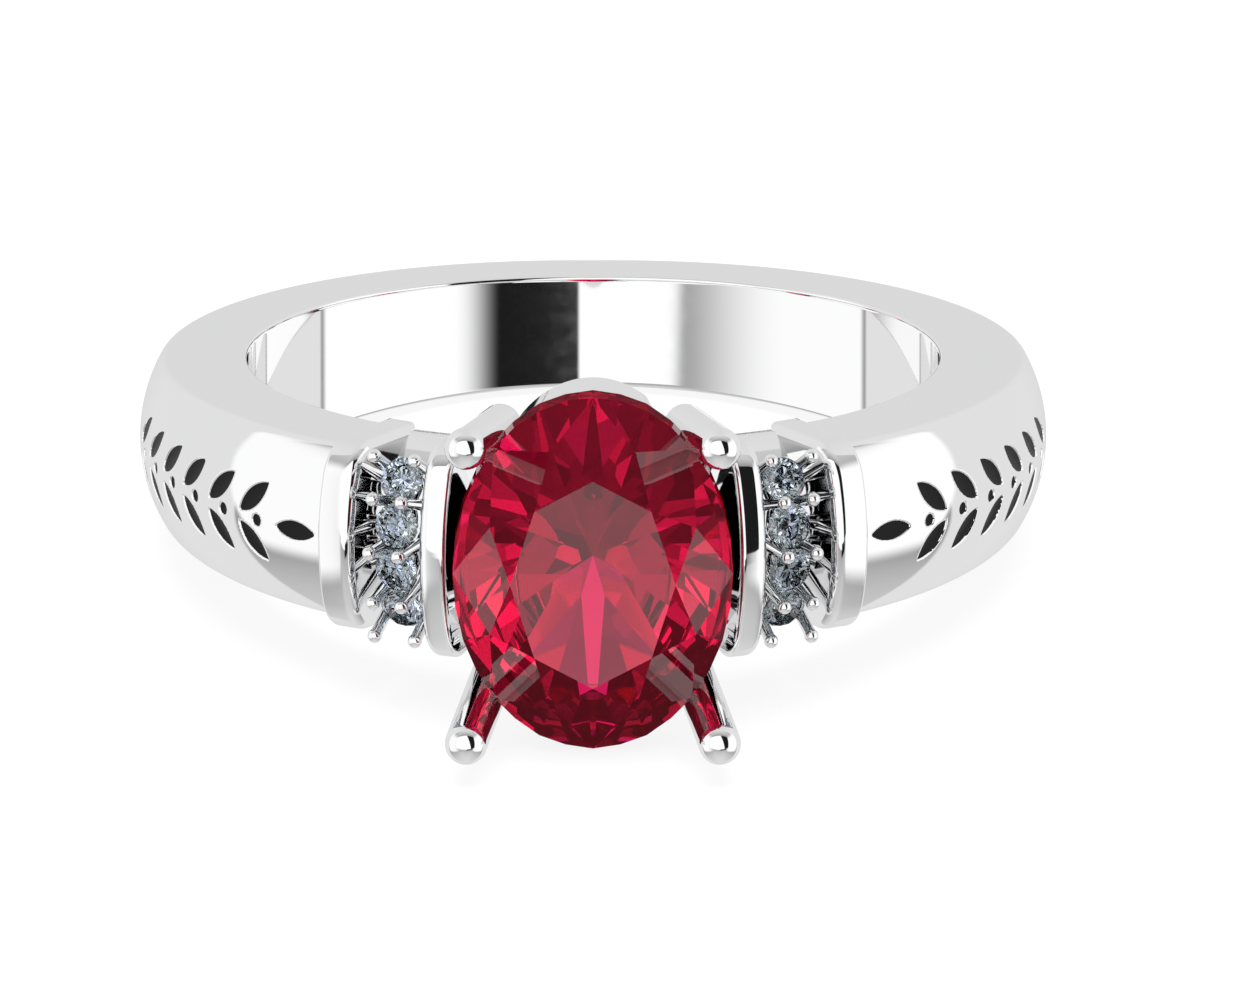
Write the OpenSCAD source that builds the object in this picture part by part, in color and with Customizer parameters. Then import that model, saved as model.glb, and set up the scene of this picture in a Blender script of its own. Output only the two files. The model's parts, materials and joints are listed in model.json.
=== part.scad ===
// Class ring: one cast and soldered metal body, an oval centre stone in four prongs,
// a bar of four small stones on each shoulder, and an enamelled leaf sprig on each side.
// The ring is built upright in its own frame, with the finger axis along Z and the head
// toward -Y, and is then laid down on its stone and the back of the shank.

/* [Finger hole] */
// Inner diameter of the ring
finger_d = 17.35; // [15:0.05:21]

/* [Shank] */
// Width of the shank at its back
back_w = 2.89; // [2.2:0.05:3.6]
// Width of the shank halfway round
side_w = 3.83; // [3.4:0.01:4.4]
// Width that the shank reaches at the head
head_w = 4.37; // [4:0.05:5.2]
// Thickness of the shank at the middle of its sides
side_t = 2.67; // [2:0.05:3.2]
// How far the outside is shifted toward the head
outside_shift = 0.52; // [0.2:0.02:0.8]
// Radius of the dome across the outside
dome_r = 3.68; // [3.2:0.05:5]

/* [Collar plates] */
// Angle between the facing sides of the two plates
plates_apart = 9.4; // [9:0.1:12]
// Thickness of the outer plate
outer_plate_t = 0.93; // [0.6:0.02:1.2]
// Height of the outer plate above the finger hole
outer_plate_h = 3.48; // [3.2:0.02:3.8]
// Full width of the outer plate
outer_plate_w = 4.9; // [4.7:0.05:5.4]
// Thickness of the inner plate
inner_plate_t = 0.74; // [0.5:0.02:0.9]
// Height of the inner plate above the finger hole
inner_plate_h = 3.78; // [3.4:0.02:4.2]
// Full width of the inner plate
inner_plate_w = 5.6; // [5.2:0.05:6]
// Radius of the dome across each plate
plate_dome_r = 5.9; // [5:0.1:8]
// Radius of each plate's corners
plate_corner_r = 1.1; // [0.7:0.05:1.4]
// How far the plates stand out from the shank's flat sides
plate_proud = 0.1; // [0.06:0.02:0.2]

/* [Centre stone] */
// Width of the stone across the head
stone_w = 6.96; // [6:0.02:8]
// Length of the stone along the finger
stone_l = 9.06; // [8.4:0.02:10]
// Height of the crown
crown_h = 1.05; // [0.8:0.05:1.3]
// Thickness of the girdle
girdle_t = 0.7; // [0.4:0.05:0.8]
// Depth of the pavilion
pavilion_h = 3; // [2.6:0.05:3.1]
// Size of the table as a share of the stone
table_share = 0.59; // [0.5:0.01:0.66]
// Height of the girdle's upper edge above the finger hole
stone_rise = 4.165; // [3.9:0.05:4.8]

/* [Setting] */
// Width of the collet at the finger hole
collet_w = 5.4; // [4.8:0.05:5.8]
// Length of the collet at the finger hole
collet_l = 7.7; // [7:0.05:8.2]
// How much narrower than the stone the collet is at its top, on each side
collet_inset = 0.17; // [0.1:0.01:0.4]
// Thickness of the collet's wall
collet_wall = 0.6; // [0.4:0.05:0.8]
// Diameter of each prong and of its round tip
prong_d = 1.05; // [0.8:0.05:1.3]
// How deep the girdle is let into each prong
prong_bite = 0.09; // [0.04:0.01:0.16]
// Lean of the prongs away from the stone
prong_lean = 13.4; // [6:0.2:16]
// Height of the tips' centres above the girdle's upper edge
prong_rise = 1.99; // [1.4:0.05:2.4]
// Depth of the prongs' feet below the girdle's upper edge
prong_foot = 3; // [2.6:0.05:3.4]

/* [Shoulder stones] */
// Diameter of each small stone
accent_d = 1.12; // [0.9:0.01:1.16]
// Angle from the inner plate to the row's middle
row_turn = 4.2; // [4:0.1:4.6]
// Radius of the arc that the stones' tables follow
row_r = 4; // [3.8:0.02:4.2]
// How far inside the finger hole's wall that arc's centre lies
row_sink = 0.78; // [0.6:0.02:1]
// Angle between two small stones on their arc
accent_step = 17.4; // [17:0.1:18.5]
// Height of the floor between the inner plates, above the finger hole
floor_h = 1.55; // [1.2:0.05:1.8]
// Radius of the round core under the small stones, about the same centre as their arc
core_r = 2.45; // [2.35:0.05:2.8]
// Width of the rail under the small stones
rail_w = 0.62; // [0.4:0.02:0.8]
// Depth of the rail's top below the stones' tables
rail_sink = 0.3; // [0.24:0.02:0.4]
// How far the rail's ends stop short of the shank's flat sides
rail_short = 0.06; // [0.02:0.01:0.12]
// Diameter of the bead on each post
bead_d = 0.36; // [0.3:0.01:0.44]
// Diameter of each post
post_d = 0.3; // [0.22:0.01:0.34]
// Height of the beads' centres above the stones' tables
bead_rise = 0.5; // [0.2:0.02:0.6]
// Half the distance between the two beads of a row
bead_half_gap = 0.39; // [0.34:0.01:0.44]
// The same at the two ends of the bar
end_half_gap = 0.55; // [0.46:0.01:0.6]
// Angle on the arc from the bar's middle to its end beads
end_bead_at = 31.1; // [30:0.1:34]

/* [Enamel sprigs] */
// Angle from the outer plate to the foot of the sprig's end leaf
sprig_gap = 14.3; // [12:0.1:16]
// Angle between two pairs of leaves
leaf_step = 6.7; // [6:0.1:7]
// Number of pairs of leaves
leaf_pairs = 6; // [4:1:6]
// Length of each leaf
leaf_l = 1.34; // [1:0.02:1.5]
// Width of each leaf
leaf_w = 0.5; // [0.36:0.02:0.6]
// Angle between a leaf and the stem
leaf_turn = 42; // [30:1:50]
// Gap between the feet of two paired leaves
leaf_part = 0.24; // [0.16:0.02:0.4]
// Diameter of the berry between two pairs
berry_d = 0.34; // [0.2:0.02:0.4]
// Depth of the engraving
engrave_h = 0.3; // [0.2:0.02:0.4]
// How far the enamel lies below the metal's surface
enamel_sink = 0.04; // [0.02:0.01:0.1]

/* [Fits] */
// Gap between each stone and its seat
stone_gap = 0.03; // [0.02:0.01:0.06]
// Gap between the prongs' feet and the inner plates
prong_gap = 0.04; // [0.02:0.01:0.08]
// Gap between the enamel and the walls of the engraving
enamel_gap = 0.02; // [0.01:0.01:0.04]

/* [Hidden] */

metal_colour = [0.86, 0.86, 0.87];
ruby_colour = [0.72, 0.05, 0.16];
diamond_colour = [0.82, 0.87, 0.92];
enamel_colour = [0.1, 0.1, 0.1];

finger_r = finger_d / 2;
outside_r = finger_r + side_t;
dome_centre = outside_r - dome_r;
// Each flat side is two planes that meet over the X = 0 plane: Z = flat_mid + flat_x |X| - flat_y Y
flat_mid = (back_w + head_w) / 4;
flat_x = (side_w / 2 - flat_mid) / finger_r;
flat_y = (head_w - back_w) / 4 / finger_r;
// The plates are begun this far inside the finger hole, which then trims them
plate_sink = 1;
plate_root = finger_r - plate_sink;
// A plate's round corner turns this far, and has this many sides
corner_turn = 96;
corner_steps = 5;
reach = 2 * (finger_r + max(inner_plate_h, outer_plate_h));
cut_h = 2 * stone_l;

stone_y = finger_r + stone_rise;
collet_top_w = stone_w - 2 * collet_inset;
collet_top_l = stone_l - 2 * collet_inset;
collet_h = stone_rise - girdle_t + collet_inset;
// The collet is begun this far inside the finger hole, which then trims it
collet_root = finger_r - sqrt(pow(finger_r, 2) - pow(collet_w / 2, 2));
prong_r = prong_d / 2;
prong_angles = [45, 135, 225, 315];

// Angles from the head: the inner plate's far face clears the prongs' feet, and the rest follows it
foot_x = prong_spot(45, -prong_foot)[0];
foot_y = stone_y - prong_foot;
inner_plate_at = atan(foot_x / foot_y)
    + asin((inner_plate_t + prong_r + prong_gap) / norm([foot_x, foot_y]));
outer_plate_at = inner_plate_at + plates_apart;
row_at = inner_plate_at + row_turn;
// Angle from the back of the ring to the sprig's first leaves
sprig_from = 180 - outer_plate_at - sprig_gap - leaf_pairs * leaf_step;

row_centre = finger_r - row_sink;
rail_half_l = half_w(180 - row_at, finger_r) - rail_short;
floor_r = finger_r + floor_h;
accent_crown = 0.16 * accent_d;
accent_girdle = 0.05 * accent_d;
accent_pavilion = 0.43 * accent_d;
accent_seat_r = accent_d / 2 + stone_gap;
bead_rows = [-end_bead_at, -accent_step, 0, accent_step, end_bead_at];
// The posts are begun this far below the core's surface
post_sink = 0.5;
post_root = core_r - post_sink;

// A berry sits this far along the way from its pair of leaves to the next
berry_share = 0.5;
oval_steps = 32;
small_steps = 32;
smooth_steps = 360;
dome_steps = 240;
arc_steps = 96;
// Each seat's cone ends at this share of the stone's width
seat_tip_share = 0.01;

// Half the shank's width at an angle from its back and a radius from the finger axis
function half_w(a, r) = flat_mid + r * (flat_x * sin(a) - flat_y * cos(a));

// Radius of the dome's edge from the finger axis, near the back
edge_r = dome_centre + sqrt(pow(dome_r, 2) - pow(back_w / 2, 2)) - outside_shift;

// The back of the shank touches the table at this angle from its middle when the ring leans
function touch_at(tilt) = atan(flat_x / (tan(tilt) - flat_y));

// The lean at which the stone's lower edge and the back of the shank lie on one table
function lean(tilt, n) =
    n == 0 ? tilt : lean(atan((stone_l / 2 - half_w(touch_at(tilt), edge_r))
        / (stone_y - girdle_t + edge_r * cos(touch_at(tilt)))), n - 1);

rest_tilt = lean(8, 8);
rest_rise = stone_l / 2 * cos(rest_tilt) - (stone_y - girdle_t) * sin(rest_tilt);
tip_spot = prong_spot(45, prong_rise);
front_reach = (stone_y + prong_rise) * cos(rest_tilt) + tip_spot[1] * sin(rest_tilt) + prong_r;
back_reach = (dome_centre - outside_shift) * cos(rest_tilt) + dome_r;
rest_shift = (front_reach - back_reach) / 2;

// A point on the stone's oval, at a share of its size
function oval_spot(w, l, share, a) = [share * w / 2 * sin(a), share * l / 2 * cos(a)];

// Centre of a prong across the head, at a height above the girdle's upper edge
function prong_spot(a, h) =
    let (
        edge = oval_spot(stone_w, stone_l, 1, a),
        out = [sin(a) / stone_w, cos(a) / stone_l],
        side = [sign(sin(a)), sign(cos(a))] / sqrt(2))
    edge + out / norm(out) * (prong_r - prong_bite) + side * tan(prong_lean) * h;

// Lays the upright ring on the table
module lay_down() {
    translate([0, rest_shift, rest_rise])
        rotate([-rest_tilt, 0, 0])
            children();
}

// Both shoulders of the ring, from the one on the +X side
module both_sides() {
    children();
    mirror([1, 0, 0]) children();
}

// Turns to an angle from the head, with X outward and Y away from the head
module at_shoulder(a) {
    rotate([0, 0, a - 90])
        children();
}

// Solid round body with the shank's outer dome, pared down by an inset
module dome_body(inset) {
    translate([0, -outside_shift, 0])
        rotate_extrude($fn = smooth_steps) {
            translate([dome_centre, 0])
                intersection() {
                    circle(r = dome_r - inset, $fn = dome_steps);
                    translate([0, -dome_r])
                        square([dome_r, 2 * dome_r]);
                }
            translate([0, inset - dome_r])
                square([dome_centre, 2 * (dome_r - inset)]);
        }
}

// Everything above one of the shank's flat sides, on the +X side
module above_flat() {
    slant = norm([flat_x, flat_y, 1]);
    intersection() {
        translate([0, 0, flat_mid])
            rotate([-asin(flat_y / slant), -atan(flat_x), 0])
                translate([-reach, -reach, 0])
                    cube([2 * reach, 2 * reach, cut_h]);
        translate([0, -reach, 0])
            cube([reach, 2 * reach, cut_h]);
    }
}

// The wedge between the outer plates, above the floor that carries the small stones
module shoulder_cut() {
    cut_at = outer_plate_at + asin(outer_plate_t / 2 / finger_r);
    difference() {
        linear_extrude(height = cut_h, center = true)
            polygon([[0, 0],
                [-reach * sin(cut_at), -reach * cos(cut_at)],
                [reach * sin(cut_at), -reach * cos(cut_at)]]);
        cylinder(h = 2 * cut_h, r = floor_r, center = true, $fn = smooth_steps);
    }
}

// The channel between a shoulder's two plates, down to the core under the small stones
module channel_cut() {
    near_at = inner_plate_at - asin(inner_plate_t / 2 / finger_r);
    far_at = outer_plate_at + asin(outer_plate_t / 2 / finger_r);
    difference() {
        linear_extrude(height = cut_h, center = true)
            polygon([[plate_root * sin(near_at), -plate_root * cos(near_at)],
                [reach * sin(near_at), -reach * cos(near_at)],
                [reach * sin(far_at), -reach * cos(far_at)],
                [plate_root * sin(far_at), -plate_root * cos(far_at)]]);
        at_shoulder(row_at)
            translate([row_centre, 0, 0])
                rotate([90, 0, 0])
                    cylinder(h = reach, r = core_r, center = true, $fn = arc_steps);
    }
}

module shank() {
    difference() {
        dome_body(0);
        both_sides() {
            above_flat();
            mirror([0, 0, 1]) above_flat();
        }
        shoulder_cut();
        both_sides() channel_cut();
    }
}

// Outline of a collar plate, with a domed top and round corners
module plate_outline(h, w, shank_half) {
    corner_z = w / 2 - plate_corner_r;
    dome_x = finger_r + h - plate_dome_r;
    centre_r = plate_dome_r - plate_corner_r;
    corner_x = dome_x + sqrt(pow(centre_r, 2) - pow(corner_z, 2));
    meet = asin(corner_z / centre_r);
    upper = [
        for (i = [0 : corner_steps]) let (a = meet * i / corner_steps)
            [dome_x + plate_dome_r * cos(a), plate_dome_r * sin(a)],
        for (i = [1 : corner_steps])
            let (a = meet + (corner_turn - meet) * i / corner_steps)
            [corner_x + plate_corner_r * cos(a), corner_z + plate_corner_r * sin(a)],
        [plate_root, shank_half + plate_proud]];
    polygon(concat(upper, [for (i = [len(upper) - 1 : -1 : 1]) [upper[i][0], -upper[i][1]]]));
}

// Collar plate that stands on its Y = 0 face
module plate(t, h, w, shank_half) {
    rotate([90, 0, 0])
        translate([0, 0, -t])
            linear_extrude(height = t)
                plate_outline(h, w, shank_half);
}

module collar_plates() {
    at_shoulder(outer_plate_at)
        plate(outer_plate_t, outer_plate_h, outer_plate_w, half_w(180 - outer_plate_at, finger_r));
    at_shoulder(inner_plate_at)
        translate([0, -inner_plate_t, 0])
            plate(inner_plate_t, inner_plate_h, inner_plate_w, half_w(180 - inner_plate_at, finger_r));
}

// Turns to a place on a shoulder's bar of small stones, with X outward from the arc's centre
module on_row(a) {
    at_shoulder(row_at)
        translate([row_centre, 0, 0])
            rotate([0, -a, 0])
                children();
}

module bead_post(a, side) {
    on_row(a)
        translate([0, side, 0]) {
            translate([post_root, 0, 0])
                rotate([0, 90, 0])
                    cylinder(h = row_r + bead_rise - post_root, d = post_d, $fn = small_steps);
            translate([row_r + bead_rise, 0, 0])
                sphere(d = bead_d, $fn = small_steps);
        }
}

// Rail that follows the arc under the small stones
module rail() {
    at_shoulder(row_at)
        intersection() {
            translate([row_centre, 0, 0])
                rotate([90, 0, 0])
                    cylinder(h = rail_w, r = row_r - rail_sink, center = true, $fn = arc_steps);
            translate([plate_root, -rail_w, -rail_half_l])
                cube([2 * row_r, 2 * rail_w, 2 * rail_half_l]);
        }
}

// Round seat that a small stone drops into
module accent_seat(a) {
    depth = accent_girdle + accent_pavilion + stone_gap;
    on_row(a)
        translate([row_r - accent_crown, 0, 0])
            rotate([0, 90, 0]) {
                translate([0, 0, -accent_girdle - stone_gap])
                    cylinder(h = accent_girdle + accent_crown + 2 * stone_gap,
                        r = accent_seat_r, $fn = small_steps);
                translate([0, 0, -depth - stone_gap])
                    cylinder(h = depth - accent_girdle, r1 = stone_gap, r2 = accent_seat_r,
                        $fn = small_steps);
            }
}

module stone_bar() {
    rail();
    for (i = [0 : len(bead_rows) - 1]) {
        gap = abs(bead_rows[i]) == end_bead_at ? end_half_gap : bead_half_gap;
        bead_post(bead_rows[i], gap);
        bead_post(bead_rows[i], -gap);
    }
}

// Straight-sided oval cone along Z
module oval_cone(w, l, top_w, top_l, h) {
    linear_extrude(height = h, scale = [top_w / w, top_l / l])
        scale([w / 2, l / 2])
            circle(r = 1, $fn = oval_steps);
}

// Turns to the head, with the girdle's upper edge at Z = 0 and the table toward +Z
module at_head() {
    translate([0, -stone_y, 0])
        rotate([90, 0, 0])
            children();
}

// Oval cone from inside the finger hole to just under the girdle, pared down by a wall
module collet_body(wall) {
    run = collet_h + collet_root;
    grow_w = (collet_top_w - collet_w) / collet_h * collet_root;
    grow_l = (collet_top_l - collet_l) / collet_h * collet_root;
    at_head()
        translate([0, 0, -stone_rise - collet_root])
            oval_cone(collet_w - grow_w - 2 * wall, collet_l - grow_l - 2 * wall,
                collet_top_w - 2 * wall, collet_top_l - 2 * wall, run);
}

module prong(a) {
    foot = prong_spot(a, -prong_foot);
    tip = prong_spot(a, prong_rise);
    run = [tip[0] - foot[0], tip[1] - foot[1], prong_rise + prong_foot];
    at_head()
        translate([foot[0], foot[1], -prong_foot])
            rotate([0, acos(run[2] / norm(run)), atan2(run[1], run[0])]) {
                sphere(d = prong_d, $fn = small_steps);
                cylinder(h = norm(run), d = prong_d, $fn = small_steps);
                translate([0, 0, norm(run)])
                    sphere(d = prong_d, $fn = small_steps);
            }
}

// The bearing that the centre stone drops into, open upward
module centre_seat() {
    w = stone_w + 2 * stone_gap;
    l = stone_l + 2 * stone_gap;
    depth = pavilion_h * (1 - stone_gap / stone_w);
    at_head() {
        translate([0, 0, -girdle_t - stone_gap])
            linear_extrude(height = girdle_t + prong_rise)
                scale([w / 2, l / 2])
                    circle(r = 1, $fn = oval_steps);
        translate([0, 0, -girdle_t - stone_gap])
            mirror([0, 0, 1])
                oval_cone(w, l, w * seat_tip_share, l * seat_tip_share, depth);
    }
}

// Turns to an angle from the back, at a depth in the shank's outside, for outlines drawn along it
module on_outside(a, depth) {
    translate([0, -outside_shift, 0])
        rotate([0, 0, 90 - a])
            translate([outside_r - depth, 0, 0])
                rotate([90, 0, 90])
                    children();
}

// Pointed leaf, the overlap of two circles, with its foot at the origin
module leaf_outline(inset) {
    l = leaf_l - 2 * inset;
    w = leaf_w - 2 * inset;
    r = (pow(l, 2) + pow(w, 2)) / (4 * w);
    translate([leaf_l / 2, 0])
        intersection() {
            translate([0, r - w / 2]) circle(r = r, $fn = arc_steps);
            translate([0, w / 2 - r]) circle(r = r, $fn = arc_steps);
        }
}

// The sprig's leaves and berries, as blocks that stand on the engraving's floor
module sprig_blocks(inset, depth) {
    for (i = [0 : leaf_pairs - 1]) {
        for (side = [-1, 1])
            on_outside(sprig_from + i * leaf_step, depth)
                linear_extrude(height = 2 * depth)
                    translate([0, -side * leaf_part / 2])
                        rotate(180 + side * leaf_turn)
                            leaf_outline(inset);
        on_outside(sprig_from + (i + berry_share) * leaf_step, depth)
            cylinder(h = 2 * depth, r = berry_d / 2 - inset, $fn = small_steps);
    }
    on_outside(sprig_from + leaf_pairs * leaf_step, depth)
        linear_extrude(height = 2 * depth)
            rotate(180)
                leaf_outline(inset);
}

module enamel() {
    intersection() {
        sprig_blocks(enamel_gap, engrave_h - enamel_gap);
        dome_body(enamel_sink);
    }
}

module ring_metal() {
    color(metal_colour)
        lay_down()
            difference() {
                union() {
                    shank();
                    both_sides() collar_plates();
                    both_sides() stone_bar();
                    collet_body(0);
                    for (a = prong_angles)
                        prong(a);
                }
                collet_body(collet_wall);
                centre_seat();
                both_sides()
                    for (i = [0 : 3])
                        accent_seat((i - 1.5) * accent_step);
                both_sides() sprig_blocks(0, engrave_h);
                cylinder(h = cut_h, r = finger_r, center = true, $fn = smooth_steps);
            }
}

// Brilliant cut: a table, 8 stars, 8 kites, 16 upper and 16 lower girdle facets and 8 mains.
// Its girdle's upper edge is at Z = 0 and its table faces +Z.
module brilliant(w, l, crown, girdle, pavilion, share) {
    star_share = (1 + share) / 2;
    low_share = 0.22;
    star_h = crown * (1 - star_share * cos(22.5)) / (1 - share);
    low_h = pavilion * (1 - low_share * cos(22.5));
    // A flat facet meets the round girdle lower down in its middle
    scallop = (1 - cos(11.25)) / cos(11.25);
    top_dip = star_h * scallop / (1 - star_share);
    low_dip = low_h * scallop / (1 - low_share);
    points = concat(
        [for (j = [0 : 7]) concat(oval_spot(w, l, share, 45 * j), crown)],
        [for (j = [0 : 7]) concat(oval_spot(w, l, star_share, 45 * j + 22.5), star_h)],
        [for (i = [0 : 31]) concat(oval_spot(w, l, 1, 11.25 * i), -(i % 2) * top_dip)],
        [for (i = [0 : 31]) concat(oval_spot(w, l, 1, 11.25 * i), (i % 2) * low_dip - girdle)],
        [for (j = [0 : 7]) concat(oval_spot(w, l, low_share, 45 * j + 22.5), -girdle - low_h)],
        [[0, 0, -girdle - pavilion]]);
    star = 8;
    top = 16;
    low = 48;
    inner = 80;
    culet = 88;
    faces = concat(
        [[for (j = [0 : 7]) j]],
        [for (j = [0 : 7]) [(j + 1) % 8, j, star + j]],
        [for (j = [0 : 7]) [j, star + (j + 7) % 8, top + 4 * j, star + j]],
        [for (j = [0 : 7]) [star + j, top + 4 * j, top + 4 * j + 1, top + 4 * j + 2]],
        [for (j = [0 : 7])
            [star + j, top + 4 * j + 2, top + 4 * j + 3, top + (4 * j + 4) % 32]],
        [for (i = [0 : 31]) [top + i, low + i, low + (i + 1) % 32, top + (i + 1) % 32]],
        [for (j = [0 : 7]) [inner + j, low + 4 * j + 2, low + 4 * j + 1, low + 4 * j]],
        [for (j = [0 : 7])
            [inner + j, low + (4 * j + 4) % 32, low + 4 * j + 3, low + 4 * j + 2]],
        [for (j = [0 : 7]) [culet, inner + j, low + 4 * j, inner + (j + 7) % 8]]);
    polyhedron(points, faces, convexity = 2);
}

module centre_stone() {
    color(ruby_colour)
        lay_down()
            at_head()
                brilliant(stone_w, stone_l, crown_h, girdle_t, pavilion_h, table_share);
}

module accent(side, i) {
    color(diamond_colour)
        lay_down()
            mirror([side, 0, 0])
                on_row((2.5 - i) * accent_step)
                    translate([row_r - accent_crown, 0, 0])
                        rotate([0, 90, 0])
                            brilliant(accent_d, accent_d, accent_crown, accent_girdle,
                                accent_pavilion, table_share);
}

module enamel_left() {
    color(enamel_colour)
        lay_down()
            mirror([1, 0, 0]) enamel();
}

module enamel_right() {
    color(enamel_colour)
        lay_down()
            enamel();
}

ring_metal();
centre_stone();
accent(1, 1);  // accent_left_1
accent(1, 2);  // accent_left_2
accent(1, 3);  // accent_left_3
accent(1, 4);  // accent_left_4
accent(0, 1);  // accent_right_1
accent(0, 2);  // accent_right_2
accent(0, 3);  // accent_right_3
accent(0, 4);  // accent_right_4
enamel_left();
enamel_right();
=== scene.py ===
import json
import math
import bpy
import bmesh
import numpy as np
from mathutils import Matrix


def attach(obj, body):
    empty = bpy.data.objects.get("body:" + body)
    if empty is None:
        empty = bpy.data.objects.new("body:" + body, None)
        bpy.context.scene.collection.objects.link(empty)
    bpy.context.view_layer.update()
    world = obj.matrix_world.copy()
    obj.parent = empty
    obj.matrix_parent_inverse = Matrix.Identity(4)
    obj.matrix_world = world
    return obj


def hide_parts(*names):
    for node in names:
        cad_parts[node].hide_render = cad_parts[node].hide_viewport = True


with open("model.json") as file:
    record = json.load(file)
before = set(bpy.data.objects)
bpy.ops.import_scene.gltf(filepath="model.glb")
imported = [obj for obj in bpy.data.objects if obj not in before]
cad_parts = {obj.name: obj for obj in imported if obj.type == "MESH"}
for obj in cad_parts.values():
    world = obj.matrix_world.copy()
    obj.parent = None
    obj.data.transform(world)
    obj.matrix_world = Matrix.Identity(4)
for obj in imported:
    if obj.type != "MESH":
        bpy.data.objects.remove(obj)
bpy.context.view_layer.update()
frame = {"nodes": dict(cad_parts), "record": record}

# The ring is worked out upright, in mm, with its finger axis along Z and its head toward -Y.
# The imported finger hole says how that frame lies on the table.
fingerHole = next(m for m in frame["record"]["mounts"] if m["name"] == "finger_hole")
holeCentre = np.array(fingerHole["pos_m"]) * 1000
leanSin, leanCos = fingerHole["axis"][1], fingerHole["axis"][2]
holeRadius = fingerHole["dims"]["r_mm"]


# Turns upright points by the lean about X and moves them to the hole's centre, in metres
def laidDown(points):
    x, y, z = points[..., 0], points[..., 1], points[..., 2]
    turned = np.stack([x, y * leanCos + z * leanSin, z * leanCos - y * leanSin], axis=-1)
    return (turned + holeCentre) / 1000


# An S-shaped step from 0 to 1 between two values
def smoothStep(low, high, value):
    t = np.clip((value - low) / (high - low), 0, 1)
    return t * t * (3 - 2 * t)


# Mirror image across the YZ plane
def mirrored(points):
    return points * np.array([-1, 1, 1])


# Corner numbers of the quads on a grid of rows and columns, each of which may close on itself
def gridQuads(rows, columns, closeRows, closeColumns):
    r = np.arange(rows if closeRows else rows - 1)[:, None]
    c = np.arange(columns if closeColumns else columns - 1)[None, :]
    nextR, nextC = (r + 1) % rows, (c + 1) % columns
    corners = [r * columns + c, r * columns + nextC, nextR * columns + nextC, nextR * columns + c]
    return np.stack(corners, axis=-1).reshape(-1, 4)


weld = {"double": 2e-8, "sliver": 1e-8}  # metres


# One mesh object from grids of upright points, each (points, closeRows, closeColumns)
def makePiece(name, grids, material, replaces=()):
    places, faces, start = [], [], 0
    for points, closeRows, closeColumns in grids:
        rows, columns = points.shape[:2]
        places.append(laidDown(points).reshape(-1, 3))
        faces.append(gridQuads(rows, columns, closeRows, closeColumns) + start)
        start += rows * columns
    places, faces = np.concatenate(places), np.concatenate(faces)
    mesh = bpy.data.meshes.new(name)
    mesh.vertices.add(len(places))
    mesh.vertices.foreach_set("co", places.ravel())
    mesh.loops.add(faces.size)
    mesh.loops.foreach_set("vertex_index", faces.ravel())
    mesh.polygons.add(len(faces))
    mesh.polygons.foreach_set("loop_start", np.arange(0, faces.size, 4))
    mesh.update(calc_edges=True)
    # Poles and seams are closed, and every face is turned outward
    shape = bmesh.new()
    shape.from_mesh(mesh)
    bmesh.ops.remove_doubles(shape, verts=shape.verts, dist=weld["double"])
    bmesh.ops.dissolve_degenerate(shape, edges=shape.edges, dist=weld["sliver"])
    bmesh.ops.recalc_face_normals(shape, faces=shape.faces)
    shape.to_mesh(mesh)
    shape.free()
    mesh.polygons.foreach_set("use_smooth", np.full(len(mesh.polygons), True))
    mesh.materials.append(material)
    piece = bpy.data.objects.new(name, mesh)
    bpy.context.collection.objects.link(piece)
    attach(piece, "root")
    if replaces:
        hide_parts(*replaces)
    print("made", name, len(mesh.vertices), "vertices")


# A profile of (radius, height) turned about an axis from one point toward another
def turned(profile, start, end, around):
    start, end = np.array(start, float), np.array(end, float)
    along = (end - start) / np.linalg.norm(end - start)
    side = np.cross(along, [0, 0, 1] if abs(along[2]) < 0.9 else [1, 0, 0])
    side = side / np.linalg.norm(side)
    other = np.cross(along, side)
    angle = np.linspace(0, 2 * np.pi, around, endpoint=False)[None, :, None]
    radius, height = profile[:, 0][:, None, None], profile[:, 1][:, None, None]
    ringOut = np.cos(angle) * side + np.sin(angle) * other
    return start + along * height + ringOut * radius


def newMaterial(name):
    material = bpy.data.materials.new(name)
    material.use_nodes = True
    nodes = material.node_tree.nodes
    return material, nodes, material.node_tree.links, nodes["Principled BSDF"]


# Fine noise on the object's own coordinates, as a value from 0 to 1
def fineNoise(nodes, links, perMetre, detail=3):
    place = nodes.new("ShaderNodeTexCoord")
    noise = nodes.new("ShaderNodeTexNoise")
    noise.inputs["Scale"].default_value = perMetre
    noise.inputs["Detail"].default_value = detail
    links.new(place.outputs["Object"], noise.inputs["Vector"])
    return noise.outputs["Fac"]


# A value from 0 to 1 stretched to a range
def rangeOf(nodes, links, value, low, high):
    ramp = nodes.new("ShaderNodeMapRange")
    ramp.inputs["To Min"].default_value = low
    ramp.inputs["To Max"].default_value = high
    links.new(value, ramp.inputs["Value"])
    return ramp.outputs["Result"]


def addBump(nodes, links, shader, value, height, strength):
    bump = nodes.new("ShaderNodeBump")
    bump.inputs["Strength"].default_value = strength
    bump.inputs["Distance"].default_value = height
    links.new(value, bump.inputs["Height"])
    links.new(bump.outputs["Normal"], shader.inputs["Normal"])


silverLook = {"colour": (0.955, 0.955, 0.96, 1), "polish": (0.02, 0.06),
              "hazePerMetre": 2500, "hazeDetail": 5}
rubyLook = {"colour": (0.8, 0.012, 0.07, 1), "ior": 1.76, "glow": 0.08,
            "depthColour": (0.6, 0.1, 0.35, 1), "density": 110}
diamondLook = {"colour": (0.37, 0.425, 0.42, 1), "ior": 2.3}
enamelLook = {"colour": (0.006, 0.006, 0.007, 1), "roughness": (0.3, 0.45), "specular": 0.12,
              "grainPerMetre": 9000, "grainHeight": 4e-6, "grainStrength": 0.3}


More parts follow.
